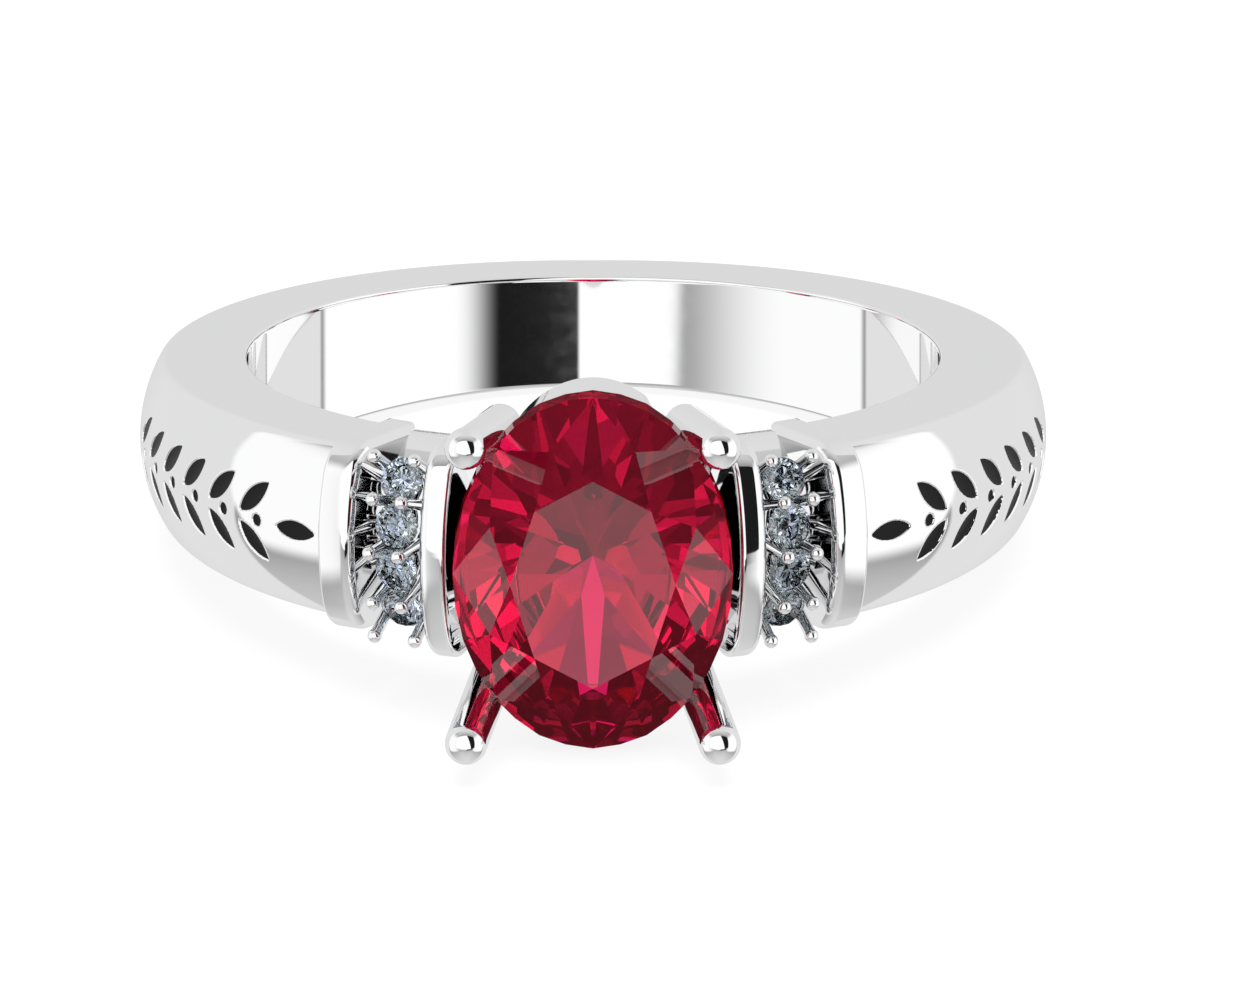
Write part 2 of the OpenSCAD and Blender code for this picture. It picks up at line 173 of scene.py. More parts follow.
def silverMaterial():
    material, nodes, links, shader = newMaterial("polishedSilver")
    shader.inputs["Base Color"].default_value = silverLook["colour"]
    shader.inputs["Metallic"].default_value = 1
    low, high = silverLook["polish"]
    haze = fineNoise(nodes, links, silverLook["hazePerMetre"], silverLook["hazeDetail"])
    links.new(rangeOf(nodes, links, haze, low, high), shader.inputs["Roughness"])
    return material


def rubyMaterial():
    material, nodes, links, shader = newMaterial("rubyCrimson")
    shader.inputs["Base Color"].default_value = rubyLook["colour"]
    shader.inputs["Transmission Weight"].default_value = 1 - rubyLook["glow"]
    shader.inputs["Roughness"].default_value = 0
    shader.inputs["IOR"].default_value = rubyLook["ior"]
    depth = nodes.new("ShaderNodeVolumeAbsorption")
    depth.inputs["Color"].default_value = rubyLook["depthColour"]
    depth.inputs["Density"].default_value = rubyLook["density"]
    links.new(depth.outputs["Volume"], nodes["Material Output"].inputs["Volume"])
    return material


def diamondMaterial():
    material, nodes, links, shader = newMaterial("clearStone")
    shader.inputs["Base Color"].default_value = diamondLook["colour"]
    shader.inputs["Transmission Weight"].default_value = 1
    shader.inputs["Roughness"].default_value = 0
    shader.inputs["IOR"].default_value = diamondLook["ior"]
    return material


def enamelMaterial():
    material, nodes, links, shader = newMaterial("blackEnamel")
    shader.inputs["Base Color"].default_value = enamelLook["colour"]
    shader.inputs["Specular IOR Level"].default_value = enamelLook["specular"]
    low, high = enamelLook["roughness"]
    grain = fineNoise(nodes, links, enamelLook["grainPerMetre"])
    links.new(rangeOf(nodes, links, grain, low, high), shader.inputs["Roughness"])
    addBump(nodes, links, shader, grain, enamelLook["grainHeight"], enamelLook["grainStrength"])
    return material


silver = silverMaterial()
ruby = rubyMaterial()
diamond = diamondMaterial()
enamel = enamelMaterial()

sprig = {
    "from": 95.522,  # degrees from the ring's back to the first leaves
    "step": 6.7,  # degrees between pairs
    "pairs": 6,
    "leafLength": 1.34,
    "leafWidth": 0.5,
    "turn": 42,  # degrees between a leaf and the stem
    "part": 0.24,  # between the feet of paired leaves
    "berry": 0.17,  # radius
    "depth": 0.16,
    "wall": 0.035,
    "sink": 0.03,  # enamel below the metal
    "dish": 0.035,
    "lap": 0.012,  # of the enamel into the metal at its edges
    "snap": 0.017,  # grid points this near to an edge slide onto it
}
shank = {
    "backWidth": 2.89,
    "sideWidth": 3.83,
    "headWidth": 4.37,
    "sideThickness": 2.67,
    "outsideShift": 0.52,
    "domeRadius": 3.68,
    "floorHeight": 1.55,  # of the step between the inner plates, above the hole
    "coreFrom": 146.9,  # degrees from the back, where the round core begins
    "floorFrom": 160.6,  # degrees from the back, inside the inner plate
    "coreRadius": 2.45,
    "coreAt": 24.778,  # degrees from the head
    "coreSink": 0.78,  # of the core's centre inside the hole's wall
    "endAt": 165.9,
    "holeRound": 0.1,
    "edgeRound": 0.16,
    "coarseStep": 1.6,  # degrees between columns behind the sprigs
    "coarseTo": 93.4,
    "fineStep": 0.17,  # degrees between columns on the sprigs
    "fineTo": 143.4,
}
outsideRadius = holeRadius + shank["sideThickness"]
domeCentre = outsideRadius - shank["domeRadius"]


# Half the shank's width: two planes that meet over X = 0, so it grows with |X| and toward the head
def halfWidth(x, y):
    middle = (shank["backWidth"] + shank["headWidth"]) / 4
    growX = (shank["sideWidth"] / 2 - middle) / holeRadius
    growY = (shank["headWidth"] - shank["backWidth"]) / 4 / holeRadius
    return middle + growX * np.abs(x) - growY * y


# Each leaf's foot and direction, unrolled: u toward the head in mm from the first pair, v along Z
def leafPlaces():
    stepLength = outsideRadius * math.radians(sprig["step"])
    places = []
    for i in range(sprig["pairs"]):
        for side in (-1, 1):
            places.append((i * stepLength, side * sprig["part"] / 2, side * math.radians(sprig["turn"])))
    places.append((sprig["pairs"] * stepLength, 0, 0))
    return places


# Each berry's centre, on the stem between two pairs of leaves
def berryPlaces():
    stepLength = outsideRadius * math.radians(sprig["step"])
    return [((i + 0.5) * stepLength, 0) for i in range(sprig["pairs"])]


# Signed distance to the sprig's edge: a leaf is where two circles overlap, a berry is one circle
def sprigDistance(u, v):
    length, width = sprig["leafLength"], sprig["leafWidth"]
    radius = (length**2 + width**2) / (4 * width)
    nearest = np.full(u.shape, 9.0)
    for footU, footV, angle in leafPlaces():
        along = (u - footU) * math.cos(angle) + (v - footV) * math.sin(angle) - length / 2
        across = (v - footV) * math.cos(angle) - (u - footU) * math.sin(angle)
        bow = radius - width / 2
        leaf = np.maximum(np.hypot(along, across - bow), np.hypot(along, across + bow)) - radius
        nearest = np.minimum(nearest, leaf)
    for centreU, centreV in berryPlaces():
        nearest = np.minimum(nearest, np.hypot(u - centreU, v - centreV) - sprig["berry"])
    return nearest


# A point of the outside: turn by an angle from the back about the shifted axis, then along the dome's
# arc to a height v, and in along the arc's radius by a depth
def outsidePoint(angle, v, depth):
    arc = np.arcsin(np.clip(v / shank["domeRadius"], -1, 1))
    radius = domeCentre + (shank["domeRadius"] - depth) * np.cos(arc)
    height = (shank["domeRadius"] - depth) * np.sin(arc)
    x, y = radius * np.sin(angle), radius * np.cos(angle) - shank["outsideShift"]
    return np.stack([x, y, height + 0 * x], axis=-1)


# A corner rounded by a parabola between a point before it, the corner and a point after it
def roundedCorner(before, corner, after, steps):
    t = np.linspace(0, 1, steps)[:, None, None]
    return (1 - t) ** 2 * before + 2 * t * (1 - t) * corner + t**2 * after


# Columns run round the ring and rows run round its section. Each column's section is the hole's wall,
# a flat side, the dome and the other flat side, with parabolas at the four corners. In the dome, the
# sprigs are pressed in by a depth that grows with the distance inside their edge.
def shankGrid():
    coarse = np.arange(0, shank["coarseTo"], shank["coarseStep"])
    fine = np.arange(sprig["from"] - 1, shank["fineTo"], shank["fineStep"])
    step, inner = shank["coreFrom"], shank["floorFrom"]
    half = np.concatenate([coarse, fine, [144.4, 145.6, step - 0.02, step + 0.02],
                           np.linspace(step + 1.5, inner - 0.02, 16),
                           np.linspace(inner + 0.02, shank["endAt"], 8)])
    angle = np.radians(np.concatenate([-half[:0:-1], half]))
    # Where the dome meets the flat side, found by going back and forth between height and width
    edge = np.full(angle.shape, 1.9)
    for _ in range(8):
        point = outsidePoint(angle, edge, 0)
        edge = halfWidth(point[:, 0], point[:, 1])
    edgePoint = outsidePoint(angle, edge, 0)
    holePoint = np.stack([holeRadius * np.sin(angle), holeRadius * np.cos(angle), 0 * angle], axis=-1)
    holePoint[:, 2] = halfWidth(holePoint[:, 0], holePoint[:, 1])
    outward = edgePoint - holePoint
    sideLength = np.linalg.norm(outward, axis=1)[:, None]
    outward = outward / sideLength
    up = np.array([0, 0, 1.0])
    small, large = shank["holeRound"], shank["edgeRound"]
    # Upper half of the section, from the hole's wall outward
    wallShare = np.array([0, 0.6, 0.97])[:, None, None]
    wall = holePoint * [1, 1, 0] + (holePoint * [0, 0, 1] - up * small) * wallShare
    holeCorner = roundedCorner(holePoint - up * small, holePoint, holePoint + outward * small, 6)
    sideShare = np.array([0.04, 0.35, 0.65, 0.96])[:, None, None]
    side = holePoint + outward * (small + (sideLength - small - large) * sideShare)
    arcStart = outsidePoint(angle, edge - large, 0)
    edgeCorner = roundedCorner(edgePoint - outward * large, edgePoint, arcStart, 8)
    # The dome, from its upper edge to its lower edge, closest together where the sprigs are
    edgeShare = np.array([1.0, 0.97, 0.9, 0.83, 0.76, 0.7, 0.65])
    middleShare = np.linspace(0.61, -0.61, 76)
    share = np.concatenate([edgeShare[1:], middleShare, -edgeShare[:0:-1]])[:, None]
    v = share * (edge - large)
    u = outsideRadius * (np.abs(angle) - math.radians(sprig["from"]))[None, :] + 0 * v
    # The points nearest to the sprig's edge slide onto it, so that the edge is a clean line
    delta = 1e-3
    distance = sprigDistance(u, v)
    slopeU = (sprigDistance(u + delta, v) - sprigDistance(u - delta, v)) / (2 * delta)
    slopeV = (sprigDistance(u, v + delta) - sprigDistance(u, v - delta)) / (2 * delta)
    slide = np.where(np.abs(distance) < sprig["snap"], -distance, 0)
    u, v = u + slide * slopeU, v + slide * slopeV
    depth = sprig["depth"] * smoothStep(0, sprig["wall"], -sprigDistance(u, v))
    turn = np.sign(angle)[None, :] * (u / outsideRadius + math.radians(sprig["from"]))
    turn = np.where(angle[None, :] == 0, 0, turn)
    dome = outsidePoint(turn, v, depth)
    upper = np.concatenate([wall, holeCorner, side, edgeCorner])
    lower = (upper * [1, 1, -1])[::-1]
    points = np.concatenate([upper, dome, lower[:-1]])
    # Between the inner plates the outside is cut down to a floor, and between an inner and an outer
    # plate to a round core: a cylinder that crosses the shank under the small stones
    radius = np.hypot(points[..., 0], points[..., 1])
    fromCore = np.pi - np.abs(angle) - math.radians(shank["coreAt"])
    core = np.sqrt(np.maximum(shank["coreRadius"] ** 2 - points[..., 2] ** 2, 0))
    core = (holeRadius - shank["coreSink"] + core) / np.cos(fromCore)[None, :]
    onFloor = (np.abs(angle) > math.radians(inner))[None, :]
    floor = np.where(onFloor, holeRadius + shank["floorHeight"], core)
    cut = (np.abs(angle) > math.radians(step))[None, :] & (radius > floor)
    shrink = np.where(cut, floor / radius, 1)
    points[..., 0] *= shrink
    points[..., 1] *= shrink
    widest = halfWidth(points[..., 0], points[..., 1])
    points[..., 2] = np.where(cut, np.clip(points[..., 2], -widest, widest), points[..., 2])
    # Both ends close on the middle of their section, inside the collet's wall
    ends = [np.repeat(points[:, [i]].mean(axis=0, keepdims=True), len(points), axis=0) for i in (0, -1)]
    return np.concatenate([ends[0], points, ends[1]], axis=1)


metalNodes = ["ring_metal"]
makePiece("shank", [(shankGrid(), True, False)], silver, replaces=metalNodes)


# A leaf of enamel: along its middle line by s and across it by t, out to a lens-shaped edge, over the
# top and back underneath. The top is dished between its edges.
def leafGrid(side, footU, footV, angle):
    length, width = sprig["leafLength"], sprig["leafWidth"]
    radius = (length**2 + width**2) / (4 * width)
    s = np.linspace(0, 1, 25)[:, None]
    t = np.concatenate([np.linspace(-1, 1, 11), np.linspace(1, -1, 5)[1:-1]])[None, :]
    under = np.concatenate([np.zeros(11), np.ones(3)])[None, :]
    along = length * s + 0 * t
    reach = np.sqrt(radius**2 - (along - length / 2) ** 2) - (radius - width / 2)
    across = t * (reach + sprig["lap"] * np.sin(np.pi * s))
    u = footU + along * math.cos(angle) - across * math.sin(angle)
    v = footV + along * math.sin(angle) + across * math.cos(angle)
    dish = sprig["sink"] + sprig["dish"] * (1 - t**2) * np.sin(np.pi * s)
    depth = np.where(under > 0, sprig["depth"] + 0.05, dish)
    depth = np.where((s == 0) | (s == 1), sprig["depth"], depth)
    return outsidePoint(side * (u / outsideRadius + math.radians(sprig["from"])), v, depth)


# A berry of enamel: a dished disc, out along its radius, over the edge and back underneath
def berryGrid(side, centreU, centreV):
    reach = (sprig["berry"] + sprig["lap"]) * np.array([0, 0.35, 0.7, 0.9, 1, 1, 0])[:, None]
    fall = np.array([1, 0.88, 0.5, 0.2, 0, 0, 0])[:, None]
    deep = np.array([0, 0, 0, 0, 0, 1, 1])[:, None]
    angle = np.linspace(0, 2 * np.pi, 24, endpoint=False)[None, :]
    u, v = centreU + reach * np.cos(angle), centreV + reach * np.sin(angle)
    depth = sprig["sink"] + sprig["dish"] * fall + deep * (sprig["depth"] + 0.02) + 0 * angle
    return outsidePoint(side * (u / outsideRadius + math.radians(sprig["from"])), v, depth)


for sideName, side in (("left", -1), ("right", 1)):
    leaves = [(leafGrid(side, *place), False, True) for place in leafPlaces()]
    berries = [(berryGrid(side, *place), False, True) for place in berryPlaces()]
    makePiece("enamel_" + sideName + "_fill", leaves + berries, enamel,
              replaces=["enamel_" + sideName])

outerPlate = {"angle": 29.978, "thickness": 0.93, "away": True, "height": 3.48, "width": 4.9}
innerPlate = {"angle": 20.578, "thickness": 0.74, "away": False, "height": 3.78, "width": 5.6}
plateForm = {"domeRadius": 5.9, "cornerRadius": 1.1, "cornerTurn": 96, "proud": 0.1,
             "nearRound": 0.27, "farRound": 0.14, "rootDepth": 1, "overHole": 0.012}


# Upright point at a radius, a height and a distance across the spoke at an angle from the head
def spokePoint(angle, radius, across, z):
    a = math.radians(angle)
    x = radius * math.sin(a) + across * math.cos(a)
    y = -radius * math.cos(a) + across * math.sin(a)
    return np.stack([x, y, z + 0 * x], axis=-1)


# A plate's outline in radius and height: a wide arc, a corner arc and a straight side down to the hole
def plateOutline(plate):
    radius, corner = plateForm["domeRadius"], plateForm["cornerRadius"]
    domeX = holeRadius + plate["height"] - radius
    cornerZ = plate["width"] / 2 - corner
    cornerX = domeX + math.sqrt((radius - corner) ** 2 - cornerZ**2)
    meet = math.asin(cornerZ / (radius - corner))
    wide = np.linspace(0, meet, 24)
    tight = np.linspace(meet, math.radians(plateForm["cornerTurn"]), 20)[1:]
    r = np.concatenate([domeX + radius * np.cos(wide), cornerX + corner * np.cos(tight)])
    z = np.concatenate([radius * np.sin(wide), cornerZ + corner * np.sin(tight)])
    a = math.radians(plate["angle"])
    rootR = holeRadius - plateForm["rootDepth"]
    rootZ = halfWidth(holeRadius * math.sin(a), -holeRadius * math.cos(a)) + plateForm["proud"]
    bottomR = holeRadius + plateForm["overHole"]
    bottomZ = z[-1] + (rootZ - z[-1]) * (r[-1] - bottomR) / (r[-1] - rootR)
    down = np.linspace(0, 1, 10)[1:]
    r = np.concatenate([r, r[-1] + (bottomR - r[-1]) * down])
    z = np.concatenate([z, z[-1] + (bottomZ - z[-1]) * down])
    base = np.linspace(bottomZ, 0, 8)[1:-1]
    r, z = np.concatenate([r, np.full(6, bottomR)]), np.concatenate([z, base])
    return np.concatenate([r, [bottomR], r[:0:-1]]), np.concatenate([z, [0], -z[:0:-1]])


# Rows run round the outline and columns run from the middle of one face, out to its rim, round a
# quarter circle, across the edge, round the other quarter circle and back to the middle
def plateGrid(plate):
    r, z = plateOutline(plate)
    alongR, alongZ = np.roll(r, -1) - np.roll(r, 1), np.roll(z, -1) - np.roll(z, 1)
    size = np.hypot(alongR, alongZ)
    outR, outZ = alongZ / size, -alongR / size
    turn = np.linspace(0, math.pi / 2, 9)
    near, far, thick = plateForm["nearRound"], plateForm["farRound"], plate["thickness"]
    inset = np.concatenate([[near] * 4, near * (1 - np.sin(turn)), [0],
                            far * (1 - np.sin(turn[::-1])), [far] * 4])
    depth = np.concatenate([[0] * 4, near * (1 - np.cos(turn)), [thick / 2],
                            thick - far * (1 - np.cos(turn[::-1])), [thick] * 4])
    spread = np.concatenate([[0, 0.4, 0.8, 0.97], np.ones(19), [0.97, 0.8, 0.4, 0]])
    middleR = holeRadius + plate["height"] / 2
    insideR = r[:, None] - outR[:, None] * inset[None, :]
    insideZ = z[:, None] - outZ[:, None] * inset[None, :]
    radius = middleR + (insideR - middleR) * spread
    height = insideZ * spread
    across = (depth if plate["away"] else -depth)[None, :] + 0 * radius
    # The foot follows the round wall of the hole
    foot = np.sqrt(np.maximum((holeRadius + plateForm["overHole"]) ** 2 - across**2, 0))
    radius = np.where(radius < foot + 0.02, np.maximum(radius, foot), radius)
    return spokePoint(plate["angle"], radius, across, height)


for plateName, plate in (("outer_plate", outerPlate), ("inner_plate", innerPlate)):
    right = plateGrid(plate)
    for sideName, points in (("left", mirrored(right)), ("right", right)):
        makePiece(plateName + "_" + sideName, [(points, True, False)], silver, replaces=metalNodes)

bar = {
    "at": 24.778,  # degrees from the head
    "sink": 0.78,  # of the arc's centre inside the hole's wall
    "arcRadius": 4,  # to the stones' tables
    "stone": 1.12,
    "step": 17.4,  # degrees on the arc
    "railWidth": 0.62,
    "railSink": 0.3,
    "railShort": 0.06,
    "railEdge": 0.05,
    "railFoot": 0.15,  # below the core's surface
    "crown": 0.21,  # heights as shares of a stone's width
    "pavilion": 0.43,
    "seatGap": 0.03,
    "seatDrop": 0.02,
    "beadFoot": 0.3,  # below the core's surface
    "bead": 0.18,  # radius
    "post": 0.15,  # radius
    "beadRise": 0.5,
    "beadRows": [(-31.1, 0.55), (-17.4, 0.39), (0, 0.39), (17.4, 0.39), (31.1, 0.55)],
}
arcCentre = holeRadius - bar["sink"]


# A point on a shoulder's bar, at an angle and a radius on its arc and a distance across it
def barPoint(angle, radius, across):
    return spokePoint(bar["at"], arcCentre + radius * np.cos(angle), across, radius * np.sin(angle))


# The rail: a strip along the arc whose top dips in a cone under each stone
def railGrid():
    spot = math.radians(bar["at"])
    widest = halfWidth(holeRadius * math.sin(spot), -holeRadius * math.cos(spot)) - bar["railShort"]
    top = bar["arcRadius"] - bar["railSink"]
    reach = math.asin(widest / top)
    angle = np.linspace(-reach, reach, 121)[None, :]
    half, edge = bar["railWidth"] / 2, bar["railEdge"]
    across = np.array([-1, -1, -1, -0.97, -0.9, -0.6, -0.3, 0, 0.3, 0.6, 0.9, 0.97, 1, 1, 1])[:, None] * half
    fall = np.array([9, 0.3, edge, 0.4 * edge, 0, 0, 0, 0, 0, 0, 0, 0.4 * edge, edge, 0.3, 9])[:, None]
    seatRadius = bar["stone"] / 2 + bar["seatGap"]
    seatTop = bar["arcRadius"] - bar["crown"] * bar["stone"] - bar["seatDrop"]
    height = np.full((1, 121), top) + 0 * across
    for i in range(4):
        away = np.hypot(top * (angle - math.radians((i - 1.5) * bar["step"])), across)
        cone = seatTop - bar["pavilion"] * bar["stone"] * (1 - away / seatRadius) - bar["seatGap"]
        height = np.where(away < seatRadius, np.minimum(height, cone), height)
    height = height - np.where(fall > 5, 0, fall)
    rootHeight = shank["coreRadius"] - bar["railFoot"]
    height = np.where(fall > 5, rootHeight, np.maximum(height, rootHeight))
    points = barPoint(angle, height, across)
    ends = [np.repeat(points[:, [i]].mean(axis=0, keepdims=True), len(points), axis=0) for i in (0, -1)]
    return np.concatenate([ends[0], points, ends[1]], axis=1)


# A post with a round bead: a straight cylinder that meets a ball, both turned about one axis
def beadProfile(length):
    ball, stem = bar["bead"], bar["post"]
    start = math.asin(stem / ball)
    turn = np.linspace(math.pi - start, 0, 16)
    r = np.concatenate([[0, stem], ball * np.sin(turn)])
    h = np.concatenate([[0, 0], length + ball * np.cos(turn)])
    return np.stack([r, h], axis=1)


# Ten posts on a bar, in five pairs across its arc
def beadGrids():
    foot = shank["coreRadius"] - bar["beadFoot"]
    tip = bar["arcRadius"] + bar["beadRise"]
    grids = []
    for angle, gap in bar["beadRows"]:
        for side in (-1, 1):
            a = math.radians(angle)
            low, high = barPoint(a, np.array(foot), side * gap), barPoint(a, np.array(tip), side * gap)
            grids.append((turned(beadProfile(tip - foot), low, high, 24), False, True))
    return grids


for sideName, flip in (("left", mirrored), ("right", np.array)):
    grids = [(flip(railGrid()), True, False)] + [(flip(g), r, c) for g, r, c in beadGrids()]
    makePiece("stone_bar_" + sideName, grids, silver, replaces=metalNodes)

stone = {"width": 6.96, "length": 9.06, "rise": 4.165, "girdle": 0.7, "pavilion": 3}
collet = {"width": 5.4, "length": 7.7, "inset": 0.17, "wall": 0.6, "lip": 0.05, "gap": 0.03, "bearing": 0.16}
prong = {"radius": 0.525, "bite": 0.09, "lean": 13.4, "rise": 1.99, "foot": 3}
stoneY = holeRadius + stone["rise"]


# A point in the head: x across, z along the finger and h toward the table from the girdle's upper edge
def headPoint(x, z, h):
    return np.stack([x, -stoneY - h + 0 * x, z + 0 * x], axis=-1)


# The collet: an oval cone that opens toward the stone, as a wall. Rows go round its section: up the
# outside from the hole, over a bearing with the pavilion's slope, down the inside and back to the start.
def colletGrid():
    topH = collet["inset"] - stone["girdle"]
    rise = stone["rise"] + topH
    halfTop = np.array([stone["width"], stone["length"]]) / 2 - collet["inset"]
    halfFoot = np.array([collet["width"], collet["length"]]) / 2
    growth = (halfTop - halfFoot) / rise
    angle = np.linspace(0, 2 * np.pi, 160, endpoint=False)[None, :]
    wall, lip = collet["wall"], collet["lip"]
    slope = stone["pavilion"] / (stone["width"] / 2)
    # Bearing heights under the girdle at the outside and the inside of the wall
    outTop = -stone["girdle"] - collet["gap"] - collet["bearing"]
    inTop = outTop - wall * slope
    share = np.array([0, 0.02, 0.3, 0.6, 0.9, 0.98])
    inset = np.concatenate([np.zeros(6), lip * np.array([0.1, 0.4, 0.9]), [wall / 2],
                            wall - lip * np.array([0.9, 0.4, 0.1]), np.full(6, wall), [wall / 2]])
    grids = []
    foot = -stone["rise"] * np.ones_like(angle)
    for _ in range(3):
        footX = (halfFoot[0] + growth[0] * (foot + stone["rise"])) * np.sin(angle)
        foot = np.sqrt(holeRadius**2 - footX**2) - holeRadius - stone["rise"]
    outside = foot + (outTop - foot) * share[:, None]
    over = outTop + np.array([0.0, 0.01, -0.01])[:, None] - slope * inset[6:9][:, None] + 0 * angle
    middle = np.full((1, angle.size), (outTop + inTop) / 2)
    under = inTop + np.array([0.04, 0.02, 0.0])[:, None] + 0 * angle
    inner = foot + (inTop - foot) * share[::-1][:, None]
    close = foot - 0.002
    h = np.concatenate([outside, over, middle, under, inner, close])
    halfX = halfFoot[0] + growth[0] * (h + stone["rise"]) - inset[:, None]
    halfZ = halfFoot[1] + growth[1] * (h + stone["rise"]) - inset[:, None]
    return headPoint(halfX * np.sin(angle), halfZ * np.cos(angle), h)


makePiece("collet", [(colletGrid(), True, True)], silver, replaces=metalNodes)


# Centre of a prong at a height: beside the oval, out along its normal, and leaning out along the diagonal
def prongPlace(a, h):
    edge = np.array([math.sin(a) * stone["width"], math.cos(a) * stone["length"]]) / 2
    out = np.array([math.sin(a) / stone["width"], math.cos(a) / stone["length"]])
    out = out / np.linalg.norm(out) * (prong["radius"] - prong["bite"])
    lean = np.sign([math.sin(a), math.cos(a)]) / math.sqrt(2) * math.tan(math.radians(prong["lean"])) * h
    x, z = edge + out + lean
    return headPoint(np.array(x), np.array(z), h)


# A prong: a straight cylinder with a round end at its foot and a round tip, turned about one axis
def prongGrid(a):
    low, high = prongPlace(a, -prong["foot"]), prongPlace(a, prong["rise"])
    length, radius = np.linalg.norm(high - low), prong["radius"]
    turn = np.linspace(0, math.pi / 2, 20)
    r = np.concatenate([np.sin(turn), [1, 1], np.cos(turn)]) * radius
    h = np.concatenate([-np.cos(turn) * radius, [0.02, length - 0.02], length + np.sin(turn) * radius])
    return turned(np.stack([r, h], axis=1), low, high, 48)


for number, a in enumerate((45, 135, 225, 315), 1):
    makePiece("prong_" + str(number), [(prongGrid(math.radians(a)), False, True)], silver,
              replaces=metalNodes)

for nodeName, nodeObject in frame["nodes"].items():
    if nodeName == "centre_stone" or nodeName.startswith("accent_"):
        material = ruby if nodeName == "centre_stone" else diamond
        for spot in nodeObject.material_slots:
            spot.material = material

studio = {
    "photoTilt": 16.38,  # degrees above the ring's own plane
    "pixelsPerMm": 39.92,
    "holeAt": (593.24, 428.09),  # pixel of the hole's centre
    "frame": (1250, 1000),
    "lens": 1300,
}
# Flat panels round the ring. Each faces the ring from a bearing, in degrees from the front toward +X. Its
# edges are (place, lean, softness) across and (place, softness) up, as tangents seen from the ring.
panels = [
    {"facing": 0, "left": (0, 0, 0.02), "right": (0.9, 0, 0.2), "bottom": (-0.4, 0.02),
     "top": (-0.28, 0.01), "value": 0.012},
    {"facing": 75, "left": (-0.72, 0, 0.24), "right": (0.56, 0.15, 0.03), "bottom": (-0.6, 0.12),
     "top": (0.85, 0.3), "value": 1.06},
    {"facing": -75, "left": (-0.56, -0.15, 0.03), "right": (0.6, 0, 0.5), "bottom": (-0.6, 0.12),
     "top": (0.85, 0.3), "value": 1.02},
    {"facing": 0, "left": (0.2, -0.17, 0.02), "right": (1.12, 0.25, 0.06), "bottom": (-0.28, 0.01),
     "top": (1.7, 0.05), "value": 0.012},
    {"facing": 0, "left": (-0.8, 0, 0.1), "right": (0.085, 0, 0.012), "bottom": (-0.33, 0.008),
     "top": (-0.27, 0.01), "value": 1.06},
    {"facing": 0, "left": (-1.45, -0.2, 0.12), "right": (0.46, -0.17, 0.02), "bottom": (-0.28, 0.01),
     "top": (1.75, 0.04), "value": 1.06},
]
# Grey of the ceiling and of the ground by the walls and in the middle. In between it depends on how far
# out a direction meets them: "side" is what the way to a side counts against the way to the front.
room = {
    "ceiling": {"wall": 0.33, "middle": 0.72, "near": 0.53, "far": 0, "side": 0.37},
    "ground": {"wall": 0.34, "middle": 0.72, "near": 3.2, "far": 0.2, "side": 1.9},
    "sideEnd": 0.14,  # how far behind the ring the side walls end
    "sideLean": 0.35,
    "backSide": 0.06,  # more light behind them
    "soft": 0.02,
}
# What the stones mirror outside, and how they show the room through them
stoneStudio = {
    "dark": 0.05,
    "bright": 0.92,
    "bandTop": -0.17,
    "bandBottom": -0.4,
    "bandSoft": 0.05,
    "power": 2,  # contrast
    "boost": 0.95,
    "patches": 4,  # higher for smaller patches
    "patchTone": (0.05, 2.1),  # darkest and brightest
    "across": 0.4,  # how far to a side the change from left to right goes
    "leftToRight": (1.35, 0.5),
    "upDown": 0.6,
    "lowToHigh": (0.6, 1.7),
    "blue": 0.6,
    "rearBlue": 0.9,
    "rear": 0.6,  # how far back the blue is full
}
backdropGrey = 0.96


# The result of one operation on numbers or sockets
def mathNode(tree, operation, *values):
    node = tree.nodes.new("ShaderNodeMath")
    node.operation = operation
    for socket, value in zip(node.inputs, values):
        if isinstance(value, (int, float)):
            socket.default_value = value
        else:
            tree.links.new(value, socket)
    return node.outputs[0]


# A soft step from 0 to 1 as a value passes a place
def softEdge(tree, value, place, soft):
    node = tree.nodes.new("ShaderNodeMapRange")
    node.interpolation_type = "SMOOTHSTEP"
    node.inputs["From Min"].default_value = place - soft
    node.inputs["From Max"].default_value = place + soft
    tree.links.new(value, node.inputs["Value"])
    return node.outputs["Result"]


# 1 on a flat panel and 0 off it. With f toward the panel's bearing, s to its right and z up, its face
# has the coordinates s/f and z/f, and an edge with a lean moves across by the lean times z/f.
def panelMask(tree, x, y, z, panel):
    bearing = math.radians(panel["facing"])
    forward = mathNode(tree, "ADD", mathNode(tree, "MULTIPLY", x, math.sin(bearing)),
                       mathNode(tree, "MULTIPLY", y, -math.cos(bearing)))
    sideways = mathNode(tree, "ADD", mathNode(tree, "MULTIPLY", x, math.cos(bearing)),
                        mathNode(tree, "MULTIPLY", y, math.sin(bearing)))
    facing = mathNode(tree, "GREATER_THAN", forward, 0.01)
    forward = mathNode(tree, "MAXIMUM", forward, 0.01)
    across = mathNode(tree, "DIVIDE", sideways, forward)
    up = mathNode(tree, "DIVIDE", z, forward)
    mask = facing
    for side, sign in (("left", 1), ("right", -1)):
        place, lean, soft = panel[side]
        shifted = mathNode(tree, "SUBTRACT", across, mathNode(tree, "MULTIPLY", up, lean))
        shifted = mathNode(tree, "MULTIPLY", shifted, float(sign))
        mask = mathNode(tree, "MULTIPLY", mask, softEdge(tree, shifted, sign * place, soft))
    for side, sign in (("bottom", 1), ("top", -1)):
        place, soft = panel[side]
        raised = mathNode(tree, "MULTIPLY", up, float(sign))
        mask = mathNode(tree, "MULTIPLY", mask, softEdge(tree, raised, sign * place, soft))
    return mask


